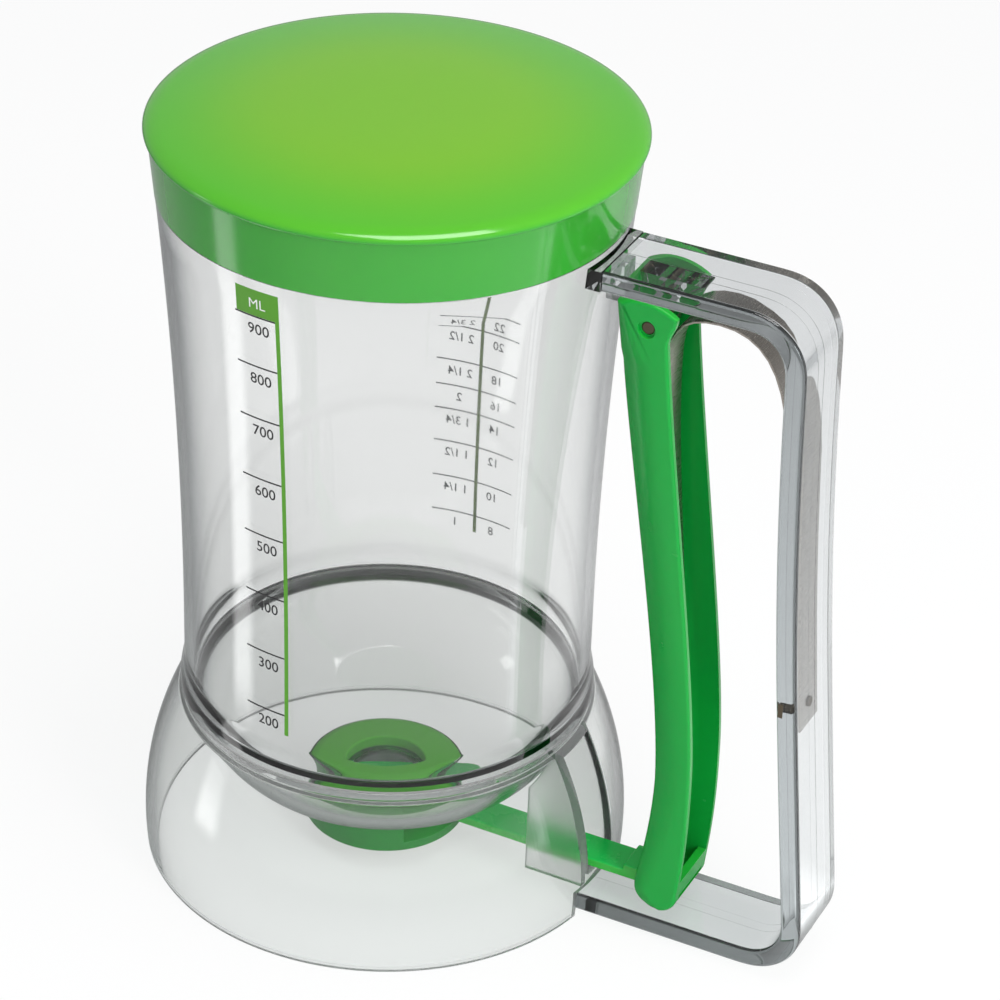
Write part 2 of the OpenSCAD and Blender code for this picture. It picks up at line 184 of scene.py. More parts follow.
# How bright the floor looks once mirrored, by its direction from CARD_CENTRE: 0 and 1 are
# towards -X, 0.5 is towards +X, and 0.25 is towards -Y.
CARD_STOPS = ((0.0, 0.03), (1.0, 0.03), (0.056, 0.03), (0.062, 1.0), (0.088, 1.0), (0.096, 0.06),
              (0.14, 0.07), (0.22, 0.17), (0.42, 0.18), (0.50, 0.24), (0.53, 0.26), (0.54, 0.85),
              (0.575, 0.85), (0.59, 0.36), (0.66, 0.34), (0.70, 0.16), (0.86, 0.05))
# The room's brightness by height, seen through clear plastic and mirrored in it.
ROOM_THROUGH = ((0.0, 0.95), (1.0, 0.4), (0.15, 0.9), (0.5, 0.6))
ROOM_MIRRORED = ((0.0, 0.50), (1.0, 0.14), (0.25, 0.42), (0.60, 0.26))
# How much of the floor is its own glow: seen straight, and through or in a piece.
GLOW_SEEN = 0.84
GLOW_BEYOND = 0.6


# ---------------------------------------------------------------- outlines

def evenly(low, high, steps):
    """Evenly spaced values from low to high, both included."""
    return [low + (high - low) * i / steps for i in range(steps + 1)]


def arc(cx, cz, r, a0, a1, steps):
    """Points on an arc, angles in degrees."""
    return [(cx + r * cos(radians(a)), cz + r * sin(radians(a))) for a in evenly(a0, a1, steps)]


def bezier(p0, p1, p2, p3, steps):
    """Points on a cubic curve."""
    out = []
    for i in range(steps + 1):
        t = i / steps
        s = 1 - t
        out.append(tuple(s ** 3 * a + 3 * s * s * t * b + 3 * s * t * t * c + t ** 3 * d
                         for a, b, c, d in zip(p0, p1, p2, p3)))
    return out


def rounded(corners, steps=5):
    """A closed outline with its corners rounded. Each corner is (x, y, radius)."""
    out = []
    count = len(corners)
    for i, (x, y, r) in enumerate(corners):
        p = Vector((x, y))
        if r <= 0:
            out.append((x, y))
            continue
        before = Vector(corners[i - 1][:2]) - p
        after = Vector(corners[(i + 1) % count][:2]) - p
        half = before.angle(after) / 2
        if half > radians(89) or half < radians(2):
            out.append((x, y))
            continue
        reach = min(r / tan(half), before.length * 0.48, after.length * 0.48)
        radius = reach * tan(half)
        u, v = before.normalized(), after.normalized()
        centre = p + (u + v).normalized() * (radius / sin(half))
        a, b = p + u * reach - centre, p + v * reach - centre
        turn = a.angle(b)
        way = 1 if a.x * b.y - a.y * b.x > 0 else -1
        for k in range(steps + 1):
            angle = way * turn * k / steps
            out.append((centre.x + a.x * cos(angle) - a.y * sin(angle),
                        centre.y + a.x * sin(angle) + a.y * cos(angle)))
    return out


def swell(r0, z0, r1, z1, steps=14):
    """Points of a soft step from radius r0 at z0 to r1 at z1."""
    out = []
    for i in range(steps + 1):
        t = i / steps
        out.append((r0 + (r1 - r0) * t * t * (3 - 2 * t), z0 + (z1 - z0) * t, 0))
    return out


def set_radius(corners, index, radius):
    """Changes the radius of one corner in a list for rounded()."""
    corners[index] = corners[index][:2] + (radius,)


def pin_circle(r):
    """A circle about the pin's axis."""
    return arc(PIN_X, PIN_Z, r, 0, 345, 23)


def jug_radius(z):
    """Outside radius of the jug's wall above the waist."""
    return JUG_R + JUG_FLARE * (max(0.0, z - FLARE_Z) / (JUG_TOP - FLARE_Z)) ** 2


def bell_radius(z):
    """Outside radius of the base."""
    return BASE_R - BELL_ARC * (1 - cos(asin((z - BASE_WIDE_Z) / BELL_ARC)))


# ------------------------------------------------------------ mesh helpers

def link(name, data):
    """Puts a mesh, a curve, a lamp or a camera into the scene."""
    obj = bpy.data.objects.new(name, data)
    bpy.context.scene.collection.objects.link(obj)
    return obj


def mesh_object(name, bm):
    mesh = bpy.data.meshes.new(name)
    bm.to_mesh(mesh)
    bm.free()
    return link(name, mesh)


def add_object(name, bm):
    """A closed piece, with its faces turned outwards."""
    bmesh.ops.recalc_face_normals(bm, faces=bm.faces)
    return mesh_object(name, bm)


def lathe(name, profile, columns=COLUMNS):
    """Turns a closed (radius, height) outline about the Z axis."""
    bm = bmesh.new()
    rings = []
    for r, z in profile:
        if r < 1e-6:
            rings.append([bm.verts.new((0, 0, z * MM))] * columns)
        else:
            rings.append([bm.verts.new((r * cos(2 * pi * i / columns) * MM,
                                        r * sin(2 * pi * i / columns) * MM, z * MM))
                          for i in range(columns)])
    for k, ring in enumerate(rings):
        other = rings[(k + 1) % len(rings)]
        for i in range(columns):
            j = (i + 1) % columns
            corners = []
            for v in (ring[i], ring[j], other[j], other[i]):
                if v not in corners:
                    corners.append(v)
            if len(corners) > 2:
                bm.faces.new(corners)
    return add_object(name, bm)


def prism(name, outline, y0, y1):
    """Extrudes a closed (x, z) outline from y0 to y1."""
    bm = bmesh.new()
    sides = [[bm.verts.new((x * MM, y * MM, z * MM)) for x, z in outline] for y in (y0, y1)]
    count = len(outline)
    for side in sides:
        bm.faces.new(side)
    for i in range(count):
        j = (i + 1) % count
        bm.faces.new((sides[0][i], sides[0][j], sides[1][j], sides[1][i]))
    return add_object(name, bm)


def loft(name, rings):
    """Joins closed rings of (x, y, z) points, and caps both ends."""
    bm = bmesh.new()
    rings = [[bm.verts.new((x * MM, y * MM, z * MM)) for x, y, z in ring] for ring in rings]
    for ring, other in zip(rings, rings[1:]):
        for i in range(len(ring)):
            j = (i + 1) % len(ring)
            bm.faces.new((ring[i], ring[j], other[j], other[i]))
    bm.faces.new(rings[0])
    bm.faces.new(rings[-1])
    return add_object(name, bm)


def pillow(name, outline, edges, half):
    """An (x, z) outline from -half to half across Y, with its sides crowned.

    Each point has the radius of its edge and how far in the crown reaches.
    """
    count = len(outline)
    inward = []
    for i in range(count):
        a, b = outline[i - 1], outline[(i + 1) % count]
        along = Vector((b[0] - a[0], b[1] - a[1])).normalized()
        inward.append((-along.y, along.x))
    slope = radians(30)
    stations = [("edge", (pi / 2 - slope) * k / 5) for k in range(6)]
    stations += [("crown", k / 8) for k in range(1, 9)]
    rings = []
    for side, (kind, at) in [(-1, t) for t in reversed(stations)] + [(1, t) for t in stations]:
        ring = []
        for (x, z), (nx, nz), (r, reach) in zip(outline, inward, edges):
            wide = max(0.0, reach - r * (1 - sin(slope)))
            drop = tan(slope) * wide / 2
            turn = at if kind == "edge" else pi / 2 - slope
            deep = r * (1 - cos(turn))
            proud = half - drop - r * (cos(slope) - sin(turn))
            if kind == "crown":
                deep += wide * at
                proud += drop * (1 - (1 - at) ** 2)
            ring.append((x + nx * deep, side * proud, z + nz * deep))
        rings.append(ring)
    return loft(name, rings)


def block(name, x, y, z):
    """A plain box for cutting and joining. x, y and z are (low, high)."""
    return prism(name, [(x[0], z[0]), (x[1], z[0]), (x[1], z[1]), (x[0], z[1])], *y)


def apply_modifiers(obj):
    shown = obj.evaluated_get(bpy.context.evaluated_depsgraph_get())
    mesh = bpy.data.meshes.new_from_object(shown)
    obj.modifiers.clear()
    obj.data = mesh


def combine(obj, tool, operation):
    """Cuts tool from obj, or joins it. tool is used up."""
    mod = obj.modifiers.new(operation, "BOOLEAN")
    mod.operation = operation
    mod.solver = "EXACT"
    mod.object = tool
    apply_modifiers(obj)
    bpy.data.objects.remove(tool)


def clean(obj, distance=0.002):
    """Merges points that lie closer than distance, and drops the faces that vanish."""
    bm = bmesh.new()
    bm.from_mesh(obj.data)
    bmesh.ops.remove_doubles(bm, verts=bm.verts, dist=distance * MM)
    bmesh.ops.dissolve_degenerate(bm, edges=bm.edges, dist=distance * MM)
    bm.to_mesh(obj.data)
    bm.free()


def bevel_edges(obj, width_of, segments=3):
    """Rounds edges. width_of(edge, angle in degrees) gives a radius in millimetres, or 0."""
    bm = bmesh.new()
    bm.from_mesh(obj.data)
    widths = {}
    for edge in bm.edges:
        if len(edge.link_faces) == 2:
            width = width_of(edge, degrees(edge.calc_face_angle(0)))
            if width > 0:
                widths[edge.index] = width
    bm.free()
    if not widths:
        return
    most = max(widths.values())
    layer = obj.data.attributes.new("bevel_weight_edge", "FLOAT", "EDGE")
    for index, width in widths.items():
        layer.data[index].value = width / most
    mod = obj.modifiers.new("round", "BEVEL")
    mod.limit_method = "WEIGHT"
    mod.width = most * MM
    mod.segments = segments
    mod.use_clamp_overlap = True
    mod.miter_outer = "MITER_ARC"
    apply_modifiers(obj)


def round_edges(obj, radius, above=40, segments=3):
    """Gives every edge sharper than above, in degrees, the same radius."""
    bevel_edges(obj, lambda edge, angle: radius if angle > above else 0, segments)


def smooth(obj, angle=32):
    """Smooth shading that keeps real corners, with big faces setting the normals."""
    obj.data.shade_smooth()
    obj.data.set_sharp_from_angle(angle=radians(angle))
    mod = obj.modifiers.new("normals", "WEIGHTED_NORMAL")
    mod.keep_sharp = True
    mod.weight = 60


def solid_copy(name, node, join=0.004, flat=0.4):
    """A copy of a CAD node's mesh, with its flat faces merged into single faces."""
    bm = bmesh.new()
    bm.from_mesh(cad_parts[node].data)
    bmesh.ops.remove_doubles(bm, verts=bm.verts, dist=join * MM)
    bmesh.ops.dissolve_limit(bm, angle_limit=radians(flat), verts=bm.verts, edges=bm.edges)
    return add_object(name, bm)


def set_material(obj, material):
    obj.data.materials.clear()
    obj.data.materials.append(material)


def finish_piece(obj, body, material, replaced=None):
    """Gives a piece its material, hides the CAD node it replaces, and fixes it to its body."""
    set_material(obj, material)
    if replaced:
        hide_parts(replaced)
    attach(obj, body)
    return obj


def dressed_copy(name, node, body, material, radius, above=40):
    """The CAD node's own shape, with its edges rounded."""
    obj = solid_copy(name, node)
    round_edges(obj, radius, above)
    smooth(obj)
    return finish_piece(obj, body, material, node)


# --------------------------------------------------------------- materials

class Nodes:
    """A short way to write a node tree."""

    def __init__(self, tree):
        self.tree = tree
        tree.nodes.clear()

    def add(self, kind, inputs=None, **settings):
        node = self.tree.nodes.new(kind)
        for key, value in settings.items():
            setattr(node, key, value)
        for key, value in (inputs or {}).items():
            socket = node.inputs[key]
            if isinstance(value, bpy.types.NodeSocket):
                self.tree.links.new(value, socket)
            else:
                socket.default_value = value
        return node

    def math(self, operation, a, b=0.0):
        return self.add("ShaderNodeMath", {0: a, 1: b}, operation=operation).outputs[0]

    def place(self):
        """Where a point is, from the piece's origin."""
        return self.add("ShaderNodeTexCoord").outputs["Object"]

    def split(self, vector):
        """The three parts of a vector."""
        return self.add("ShaderNodeSeparateXYZ", {0: vector}).outputs

    def noise(self, scale, detail, stretch=(1, 1, 1), roughness=0.5):
        where = self.add("ShaderNodeMapping", {"Vector": self.place(), "Scale": stretch}).outputs[0]
        return self.add("ShaderNodeTexNoise", {"Vector": where, "Scale": scale, "Detail": detail,
                                               "Roughness": roughness}).outputs["Fac"]

    def spread(self, value, low, high):
        """Turns 0 into low and 1 into high."""
        node = self.add("ShaderNodeMapRange", {"Value": value, "To Min": low, "To Max": high})
        return node.outputs[0]

    def fade(self, value, start, end, low=0.0, high=1.0):
        """A soft step from low, at start, to high, at end."""
        return self.add("ShaderNodeMapRange", {
            "Value": value, "From Min": start, "From Max": end, "To Min": low, "To Max": high},
            interpolation_type="SMOOTHSTEP").outputs[0]

    def bump(self, height, strength, distance):
        return self.add("ShaderNodeBump", {"Height": height, "Strength": strength,
                                           "Distance": distance}).outputs[0]

    def mix_colour(self, factor, a, b):
        node = self.add("ShaderNodeMix", data_type="RGBA")
        for index, value in ((0, factor), (6, a), (7, b)):
            if isinstance(value, bpy.types.NodeSocket):
                self.tree.links.new(value, node.inputs[index])
            else:
                node.inputs[index].default_value = value
        return node.outputs[2]

    def length(self, vector):
        return self.add("ShaderNodeVectorMath", {0: vector}, operation="LENGTH").outputs["Value"]

    def from_axis(self):
        """How far a point is from the piece's Z axis."""
        flat = self.add("ShaderNodeVectorMath", {0: self.place(), 1: (1, 1, 0)},
                        operation="MULTIPLY").outputs[0]
        return self.length(flat)

    def ramp(self, value, stops):
        """Greys by value. The first two stops are the ends."""
        node = self.add("ShaderNodeValToRGB", {0: value})
        elements = node.color_ramp.elements
        for element, (where, grey) in zip(elements, stops[:2]):
            element.position, element.color = where, (grey, grey, grey, 1)
        for where, grey in stops[2:]:
            elements.new(where).color = (grey, grey, grey, 1)
        return node.outputs[0]

    def output(self, surface, volume=None):
        inputs = {"Surface": surface}
        if volume:
            inputs["Volume"] = volume
        self.add("ShaderNodeOutputMaterial", inputs)


def new_material(name):
    mat = bpy.data.materials.new(name)
    mat.use_nodes = True
    return mat, Nodes(mat.node_tree)


def srgb(r, g, b):
    """A colour given as 0-255 screen values."""
    def linear(v):
        v /= 255
        return v / 12.92 if v <= 0.04045 else ((v + 0.055) / 1.055) ** 2.4
    return (linear(r), linear(g), linear(b), 1.0)


def shade(colour, factor, lift=0.0):
    """A darker or lighter version of a colour."""
    return tuple(min(1, c * factor + lift) for c in colour[:3]) + (1,)


def green_plastic(name, top, side, roughness, grain, coat=0.3, rim_shade=None, gloss=0.5):
    """Moulded plastic, with painted light: a lit colour on upper faces and a painted shade on its
    sides.

    A third colour, when given, is a painted shade that takes over towards the rim.
    """
    mat, n = new_material(name)
    up = n.split(n.add("ShaderNodeNewGeometry").outputs["Normal"])[2]
    # Painted light: upper faces take the lit top colour, and sides take the painted shade of the
    # side colour.
    colour = n.mix_colour(n.fade(up, 0.0, 0.9), side, top)
    # Painted shade: a greener colour that takes over towards the rim.
    if rim_shade:
        colour = n.mix_colour(n.fade(n.from_axis(), 0.024, 0.054, 0.0, 0.65), colour, rim_shade)
    colour = n.mix_colour(n.spread(n.noise(28, 4), 0.0, 0.18), colour, shade(top, 0.9))
    body = n.add("ShaderNodeBsdfPrincipled", {
        "Base Color": colour,
        "Roughness": n.spread(n.noise(160, 5), roughness * 0.75, roughness * 1.3),
        "Normal": n.bump(n.noise(900, 2), grain, 0.0004),
        "IOR": 1.49, "Specular IOR Level": gloss, "Coat Weight": coat, "Coat Roughness": 0.08,
        "Subsurface Weight": 0.12, "Subsurface Radius": (0.002, 0.004, 0.001),
        "Subsurface Scale": 0.4})
    n.output(body.outputs[0])
    return mat


def clear_plastic(name, tint, edge, waves, density,
                  frosted_cuts=False, frosted_bore=0.0, shade_from=0.72):
    """Clear plastic: grazing views turn it slate, which is painted shade, and long ways through it
    turn slate by absorption. Lamps shine through.

    frosted_cuts dulls the cut faces of the base, and frosted_bore the bore of that radius.
    """
    mat, n = new_material(name)
    grazing = n.add("ShaderNodeLayerWeight", {"Blend": 0.5}).outputs["Facing"]
    roughness = n.spread(n.noise(60, 4), 0.0, 0.05)
    if frosted_cuts:
        place = n.split(n.place())
        face = n.split(n.add("ShaderNodeNewGeometry").outputs["True Normal"])
        across = n.math("GREATER_THAN", n.math("ABSOLUTE", face[1]), 0.9)
        by_guides = n.math("GREATER_THAN", place[0], (GUIDE_X - 1) * MM)
        across = n.math("MULTIPLY", across, by_guides)
        level = n.math("GREATER_THAN", n.math("ABSOLUTE", face[2]), 0.9)
        level = n.math("MAXIMUM", level, n.math("LESS_THAN", place[2], 0.9 * MM))
        cut = n.math("MULTIPLY", n.math("MAXIMUM", across, level), 0.42)
        roughness = n.math("MAXIMUM", roughness, cut)
    if frosted_bore:
        bore = n.math("LESS_THAN", n.from_axis(), frosted_bore)
        roughness = n.math("MAXIMUM", roughness, n.math("MULTIPLY", bore, 0.5))
    # Painted shade: at grazing views the colour turns to the darker edge colour.
    body = n.add("ShaderNodeBsdfPrincipled", {
        "Base Color": n.mix_colour(n.fade(grazing, shade_from, 1.0), tint, edge),
        "Roughness": roughness,
        "Normal": n.bump(n.noise(26, 2, (1, 1, 0.35)), waves, 0.004),
        "IOR": 1.52, "Transmission Weight": 1.0})
    light = n.add("ShaderNodeLightPath")
    passing = n.math("MAXIMUM", light.outputs["Is Shadow Ray"], light.outputs["Is Diffuse Ray"])
    open_way = n.add("ShaderNodeBsdfTransparent", {"Color": (0.93, 0.95, 0.94, 1)})
    surface = n.add("ShaderNodeMixShader", {0: passing, 1: body.outputs[0], 2: open_way.outputs[0]})
    depth = n.add("ShaderNodeVolumeAbsorption", {"Color": (0.50, 0.54, 0.55, 1),
                                                 "Density": density})
    n.output(surface.outputs[0], depth.outputs[0])
    return mat


def steel(name, colour, roughness):
    """Brushed steel, with fine lines across the Z axis."""
    mat, n = new_material(name)
    lines = n.noise(300, 4, (1, 1, 40), 0.7)
    worn = n.mix_colour(n.spread(n.noise(40, 3), 0.0, 0.4), colour, shade(colour, 0.7))
    body = n.add("ShaderNodeBsdfPrincipled", {
        "Base Color": worn, "Metallic": 1.0,
        "Roughness": n.spread(lines, roughness * 0.8, roughness * 1.3),
        "Normal": n.bump(lines, 0.04, 0.0002)})
    n.output(body.outputs[0])
    return mat


def ink(name, colour):
    """Printing ink with lighter specks."""
    mat, n = new_material(name)
    spots = n.spread(n.noise(1500, 3), 0.0, 0.25)
    body = n.add("ShaderNodeBsdfPrincipled", {
        "Base Color": n.mix_colour(spots, colour, shade(colour, 1.25, 0.01)),
        "Roughness": 0.45, "IOR": 1.45})
    n.output(body.outputs[0])
    return mat


# Each green gives the lit colour of upper faces, then the painted shade of sides; the lid's last
# colour is a painted shade towards its rim.
lid_green = green_plastic("lid_green", srgb(114, 180, 32), srgb(12, 116, 44), 0.14, 0.015, 0.5,
                          srgb(52, 176, 48))
trigger_green = green_plastic("trigger_green", srgb(36, 174, 58), srgb(14, 161, 62), 0.24, 0.03,
                              0.05, gloss=0.35)
slide_green = green_plastic("slide_green", srgb(18, 186, 76), srgb(56, 188, 64), 0.26, 0.03)
housing_green = green_plastic("housing_green", srgb(30, 165, 52), srgb(20, 138, 46), 0.3, 0.03)
seal_green = green_plastic("seal_green", srgb(78, 172, 34), srgb(70, 164, 34), 0.45, 0.05, 0.0)
# The second colour of each clear plastic is its painted shade at grazing views.
clear_jug = clear_plastic("clear_jug", (0.97, 0.97, 0.965, 1), (0.30, 0.33, 0.34, 1), 0.008, 56.0,
                         frosted_bore=(OUTLET_R + 1) * MM, shade_from=0.56)
clear_base = clear_plastic("clear_base", (0.97, 0.975, 0.965, 1), (0.36, 0.40, 0.40, 1),
                           0.01, 50.0, frosted_cuts=True)
clear_handle = clear_plastic("clear_handle", (0.96, 0.965, 0.97, 1), (0.24, 0.28, 0.30, 1),
                             0.012, 70.0)
spring_steel = steel("spring_steel", (0.44, 0.40, 0.36, 1), 0.26)
pin_steel = steel("pin_steel", (0.17, 0.14, 0.10, 1), 0.45)
ink_black = ink("ink_black", (0.012, 0.012, 0.013, 1))
ink_grey = ink("ink_grey", (0.045, 0.05, 0.05, 1))
ink_green = ink("ink_green", srgb(86, 156, 36))
ink_olive = ink("ink_olive", srgb(104, 132, 28))
ink_white = ink("ink_white", (0.9, 0.92, 0.88, 1))


# ------------------------------------------------------------ jug and base

def make_jug():
    """The jug, turned about the Z axis, with the collar that meets the handle."""
    outer_wall = [(jug_radius(z), z, 0) for z in evenly(FLARE_Z, SKIRT_Z, 30)]
    neck_r = jug_radius(SKIRT_Z) - NECK_STEP
    inner_wall = [(min(r - JUG_WALL, neck_r - NECK_WALL), z, 0) for r, z, _ in reversed(outer_wall)]
    set_radius(outer_wall, -1, 0.25)
    neck = [(neck_r, SKIRT_Z, 0.2), (neck_r, JUG_TOP, 0.4), (neck_r - NECK_WALL, JUG_TOP, 0.4)]
    depth = WAIST_Z - BOSS_Z
    start = acos(HOUSING_R / BOWL_R)
    steps = 90
    falls = [start * (1 - i / steps) for i in range(steps + 1)]
    outer_bowl = [(BOWL_R * cos(a), WAIST_Z - depth * sin(a), 0) for a in falls]
    inner_r, inner_d = BOWL_R - BOWL_WALL, depth - BOWL_WALL
    end = acos(RECESS_R / inner_r)
    inner_bowl = [(inner_r * cos(a), WAIST_Z - inner_d * sin(a), 0) for a in evenly(0, end, steps)]
    profile = rounded(
        [(OUTLET_R, BOSS_Z, 0.4), (HOUSING_R, BOSS_Z, 0.4)] + outer_bowl
        + [(WAIST_R, WAIST_Z, 0.9)] + swell(WAIST_R, WAIST_Z + 1.6, JUG_R, WAIST_TOP)
        + outer_wall + neck + inner_wall
        + [(JUG_R - JUG_WALL, THROAT_Z, 1.6)] + inner_bowl
        + [(RECESS_R, FLOOR_Z, 0.3), (OUTLET_R, FLOOR_Z, 0.8)])
    jug = lathe("jug_shell", profile)
    side = BAR_W / 2
    low, high = ARM_TOP - BAR_D, ARM_TOP
    collar = block("collar", (COLLAR_X, ARM_X), (-side, side), (low, high))

    def width(edge, angle):
        return 0.5 if min(v.co.x for v in edge.verts) > COLLAR_EDGE_X * MM else 0
    bevel_edges(collar, width)
    inner = jug_radius(high) - JUG_WALL / 2
    hollow = lathe("hollow", [(0, low - 5), (inner, low - 5), (inner, high + 5), (0, high + 5)])
    combine(collar, hollow, "DIFFERENCE")
    combine(jug, collar, "UNION")
    clean(jug)
    smooth(jug)
    return finish_piece(jug, "vessel", clear_jug, "jug")


def make_base():
    """The bell, with its two guide walls, its notch and the slot for the handle."""
    steps = 60
    outer = [(bell_radius(z), z, 0) for z in evenly(0, WAIST_Z, steps)]
    inner = [(bell_radius(z) - BASE_WALL, z, 0) for z in evenly(0, NECK_Z, steps)]
    for line in (outer, inner):
        set_radius(line, 0, 0.6)
        set_radius(line, -1, 0.5)
    base = lathe("base_bell", rounded(
        outer + [(NECK_R, WAIST_Z, 0.4), (NECK_R, NECK_Z, 0.4)] + inner[::-1]), BELL_COLUMNS)
    gap = 0.6
    reach, depth = BOWL_R + gap, WAIST_Z - BOSS_Z + gap
    rises = [radians(90 - 90 * i / steps) for i in range(steps + 1)]
    room = ([(reach * cos(a), WAIST_Z - depth * sin(a)) for a in rises]
            + [(reach, WAIST_Z + 4), (0, WAIST_Z + 4)])
    cap = ([(0, 0)] + [(bell_radius(z) - BASE_WALL / 2, z) for z in evenly(0, WAIST_Z, steps)]
           + [(0, WAIST_Z)])
    for side in (-1, 1):
        across = sorted((side * (NOTCH_HALF - 0.05), side * (NOTCH_HALF + GUIDE_T)))
        wall = block("guide", (GUIDE_X, PAST_BASE), across, (SLOT_TOP + 0.1, NECK_Z + 0.6))
        combine(wall, lathe("clip", cap), "INTERSECT")
        combine(wall, lathe("room", room), "DIFFERENCE")
        combine(base, wall, "UNION")
    notch = block("notch", (NECK_R - 5, PAST_BASE), (-NOTCH_HALF, NOTCH_HALF), (SILL_Z, NECK_Z))
    combine(base, notch, "DIFFERENCE")
    slot = block("slot", (ARM_END_X - 2.1, PAST_BASE), (-SLOT_HALF, SLOT_HALF), (-1, SLOT_TOP))
    combine(base, slot, "DIFFERENCE")
    clean(base)

    def width(edge, angle):
        mid = (edge.verts[0].co + edge.verts[1].co) / 2 / MM
        near = mid.x > GUIDE_X - 1 and abs(mid.y) < SLOT_HALF + 1
        return 0.3 if near and angle > 40 else 0
    bevel_edges(base, width, 2)
    smooth(base)
    return finish_piece(base, "vessel", clear_base, "base")


# ------------------------------------------------------------------ handle

def bar_line():
    """The side outline of the bar's outer face: evenly spaced points, smoothed at the bends."""
    r = CORNER_R
    top = (GRIP_TOP_X - r, ARM_TOP - r)
    low = (GRIP_LOW_X - r, ARM_LOW + r)
    reach = (ARM_TOP - ARM_LOW) / 3
    grip = bezier((top[0] + r, top[1]), (top[0] + r + 1, top[1] - reach),
                  (low[0] + r - 6, low[1] + reach * 1.15), (low[0] + r, low[1]), 120)
    corners = ([(ARM_X + 0.05, ARM_TOP)] + arc(*top, r, 90, 0, 60) + grip[1:]
               + arc(*low, r, 0, -90, 60)[1:] + [(ARM_END_X, ARM_LOW)])
    along, line = 0.0, [Vector(corners[0])]
    for a, b in zip(corners, corners[1:]):
        a, b = Vector(a), Vector(b)
        length = (b - a).length
        while along + LINE_SPACING <= length:
            along += LINE_SPACING
            line.append(a.lerp(b, along / length))
        along -= length
    line.append(Vector(corners[-1]))
    for _ in range(LINE_PASSES):
        middle = [(p + 2 * q + r) / 4 for p, q, r in zip(line, line[1:], line[2:])]
        line = [line[0]] + middle + [line[-1]]
    return line


def inset_line(line, inset):
    """The same outline, moved inwards."""
    out = []
    for i, point in enumerate(line):
        along = (line[min(i + 1, len(line) - 1)] - line[max(i - 1, 0)]).normalized()
        out.append(point + Vector((along.y, -along.x)) * inset)
    return out


def make_handle():
    """A solid bar with a fine parting line along the middle of both broad faces."""
    half = BAR_W / 2
    section = rounded([
        (-half, 0, 1.1), (-SEAM_HALF, 0, 0), (0, -SEAM_H, 0), (SEAM_HALF, 0, 0),
        (half, 0, 0.4), (half, BAR_D, 0.5), (SEAM_HALF, BAR_D, 0),
        (0, BAR_D + SEAM_H, 0), (-SEAM_HALF, BAR_D, 0), (-half, BAR_D, 0.9)])
    bm = bmesh.new()
    face = bar_line()
    lines = [[bm.verts.new((x * MM, y * MM, z * MM)) for x, z in inset_line(face, inset)]
             for y, inset in section]
    for k, line in enumerate(lines):
        other = lines[(k + 1) % len(lines)]
        for i in range(len(line) - 1):
            bm.faces.new((line[i], line[i + 1], other[i + 1], other[i]))
    for end in (0, -1):
        bm.faces.new([line[end] for line in lines])
    handle = add_object("handle_bar", bm)

    under = ARM_TOP - BAR_D
    thick = (-LUG_W / 2, LUG_W / 2)
    lug = prism("lug", rounded([
        (PIN_X - 5.2, under + 0.6, 0), (PIN_X - LUG_R, PIN_Z, 0)]
        + [(x, z, 0) for x, z in arc(PIN_X, PIN_Z, LUG_R, 180, 360, 20)[1:-1]]
        + [(PIN_X + LUG_R, PIN_Z, 0), (PIN_X + LUG_R + 2.4, under - 3.4, 1.0),
           (PIN_X + 9.8, under - 0.8, 0.5), (PIN_X + 10.4, under + 0.6, 0)], 6), *thick)

    def width(edge, angle):
        low = min(v.co.z for v in edge.verts) < under * MM
        return 0.35 if low and angle > 60 else 0
    bevel_edges(lug, width)
    for i in range(2):
        x = PIN_X - 0.6 + i * 3.6
        slot = block("slot", (x, x + 1.6), (-LUG_W, LUG_W), (under - 2.8, under - 0.8))
        combine(lug, slot, "DIFFERENCE")
    combine(handle, lug, "UNION")
    rib = block("rib", (RIB_X, RIB_END_X), thick, (under - RIB_H, under - 0.5))
    rib_top = block("rib_top", (ARM_X + 0.1, RIB_END_X), thick, (under - 1.0, under + 0.5))
    combine(rib, rib_top, "UNION")
    combine(handle, rib, "UNION")
    combine(handle, prism("bore", pin_circle(PIN_R), -LUG_W, LUG_W), "DIFFERENCE")
    clean(handle)
    smooth(handle, 35)
    return finish_piece(handle, "vessel", clear_handle, "handle")


# --------------------------------------------------------------------- lid

def make_lid():
    """The cap: a low dome, a soft rim and the skirt."""
    steps = 40
    inner_r = LID_R - RIM_W * (1 - sin(radians(RIM_TURN)))
    skirt_in = jug_radius(SKIRT_Z) - NECK_STEP + SKIRT_GAP

    def dome(r):
        return LID_TOP + LID_DOME * (1 - (r / DOME_R) ** 3)
    top = [(r, dome(r), 0) for r in [inner_r * (1 - i / steps) for i in range(1, steps + 1)]]
    under_r = skirt_in - LID_WALL
    under = [(r, dome(r) - LID_WALL, 0) for r in evenly(0, under_r, steps)]
    set_radius(under, -1, 0.4)
    high = (dome(inner_r) - RIM_Z) / cos(radians(RIM_TURN))
    rim = [(LID_R - RIM_W + RIM_W * cos(radians(a)), RIM_Z + high * sin(radians(a)), 0)
           for a in evenly(0, 90 - RIM_TURN, 18)]
    skirt = [(jug_radius(z) + 0.1, z, 0) for z in evenly(SKIRT_Z, LID_RIM_Z, 8)]
    set_radius(skirt, 0, 0.25)
    set_radius(skirt, -1, 0.15)
    lid = lathe("lid_cap", rounded(
        [(under_r, LID_RIM_Z, 0.3), (skirt_in, LID_RIM_Z, 0.3), (skirt_in, SKIRT_Z, 0.25)] + skirt
        + [(LID_R - 0.35, LID_RIM_Z, 0), (LID_R - 0.05, LID_RIM_Z + 0.3, 0)] + rim + top + under))
    smooth(lid)
    return finish_piece(lid, "lid", lid_green, "lid")


# ----------------------------------------------------------------- trigger

def head_point(x):
    """A point on the rounded top of the trigger's head."""
    return (x, HEAD_Z - HEAD_R + sqrt(HEAD_R ** 2 - (x - PIN_X + 1.1) ** 2))


